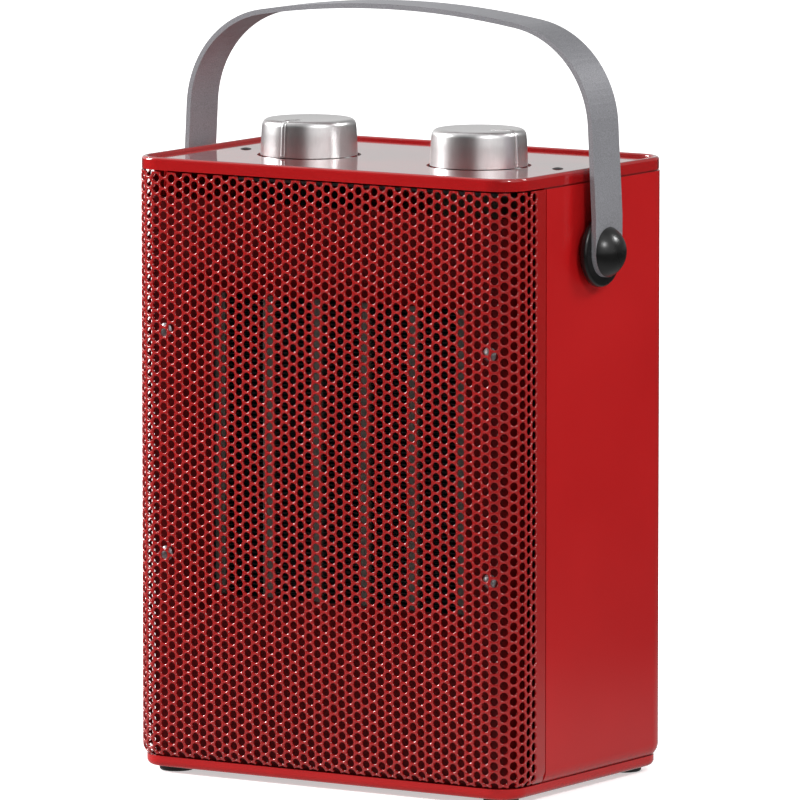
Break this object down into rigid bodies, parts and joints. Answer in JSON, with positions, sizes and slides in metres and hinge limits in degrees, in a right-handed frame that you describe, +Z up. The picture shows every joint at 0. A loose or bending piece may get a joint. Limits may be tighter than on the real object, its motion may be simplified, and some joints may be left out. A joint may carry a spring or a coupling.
{
  "type": "fan heater",
  "caption": "Compact ceramic fan heater: red steel housing with a wrap-round perforated front, tray-shaped top with control knobs and a swinging strap handle.",
  "frame": {"origin": "middle of the footprint on the surface that the feet stand on", "axes": "+Z up, the perforated front faces -Y, +X is to the right of someone looking at the front"},
  "size_m": [0.2072, 0.1227, 0.3084],
  "materials": {
    "red_steel": "gloss red enamel on sheet steel",
    "panel_red": "dark red enamel on sheet steel",
    "grey_steel": "matt grey paint on a flat steel strap",
    "satin_silver": "satin silver finish on a moulded knob",
    "black_plastic": "satin black moulded plastic",
    "rubber": "black rubber",
    "zinc": "zinc plated steel",
    "dark_steel": "blackened steel",
    "galvanised": "plain bracket steel",
    "ceramic_bar": "grey-brown sheathed ceramic bar",
    "fin": "dark folded aluminium strip",
    "brass": "plain brass blade",
    "pale_plastic": "pale moulded plastic",
    "phenolic": "brown moulded phenolic"
  },
  "bodies": {
    "housing": {"body_shell": "red_steel", "front_grille": "red_steel", "top_cap": "red_steel", "base_pan": "red_steel", "front_left_foot": "rubber", "front_right_foot": "rubber", "rear_left_foot": "rubber", "rear_right_foot": "rubber", "foot_screws": "zinc", "cap_screws": "dark_steel", "rear_screws": "zinc", "cord_inlet": "black_plastic", "inner_panel": "panel_red", "panel_screws": "zinc", "heater_frame": "black_plastic", "heater_bars": "ceramic_bar", "heater_fins": "fin", "heater_terminals": "brass", "thermal_cutout": "pale_plastic", "fan_shroud": "black_plastic", "motor": "zinc", "motor_bracket": "galvanised", "motor_screws": "zinc", "control_bracket": "galvanised", "mode_switch": "black_plastic", "mode_nut": "zinc", "thermostat": "phenolic", "thermostat_nut": "zinc", "left_pivot_spacer": "black_plastic", "right_pivot_spacer": "black_plastic", "left_pivot_bolt": "zinc", "right_pivot_bolt": "zinc", "left_pivot_nut": "zinc", "right_pivot_nut": "zinc", "left_pivot_cap": "black_plastic", "right_pivot_cap": "black_plastic", "tip_switch": "pale_plastic", "tip_spring": "zinc"},
    "handle": {"handle": "grey_steel"},
    "mode_control": {"mode_knob": "satin_silver", "mode_shaft": "zinc"},
    "thermostat_control": {"thermostat_knob": "satin_silver", "thermostat_shaft": "zinc"},
    "fan_rotor": {"fan": "black_plastic", "motor_shaft": "zinc"},
    "tip_plunger": {"tip_plunger": "pale_plastic"}
  },
  "joints": [
    {"name": "handle_fold", "type": "hinge", "parent": "housing", "child": "handle", "pos_m": [0, 0, 0.2144], "axis": [1, 0, 0], "range_deg": [-116, 116]},
    {"name": "mode_turn", "type": "hinge", "parent": "housing", "child": "mode_control", "pos_m": [-0.04, -0.005, 0.2474], "axis": [0, 0, 1], "range_deg": [-270, 0]},
    {"name": "thermostat_turn", "type": "hinge", "parent": "housing", "child": "thermostat_control", "pos_m": [0.04, -0.005, 0.2474], "axis": [0, 0, 1], "range_deg": [-45, 225]},
    {"name": "fan_spin", "type": "hinge", "parent": "housing", "child": "fan_rotor", "pos_m": [0, 0, 0.1331], "axis": [0, 1, 0], "continuous": true},
    {"name": "tip_press", "type": "slide", "parent": "housing", "child": "tip_plunger", "axis": [0, 0, 1], "range_m": [-0.0043, 0], "stiffness_N_per_m": 60, "springref_m": -0.006, "deforming": ["tip_spring"]}
  ]
}
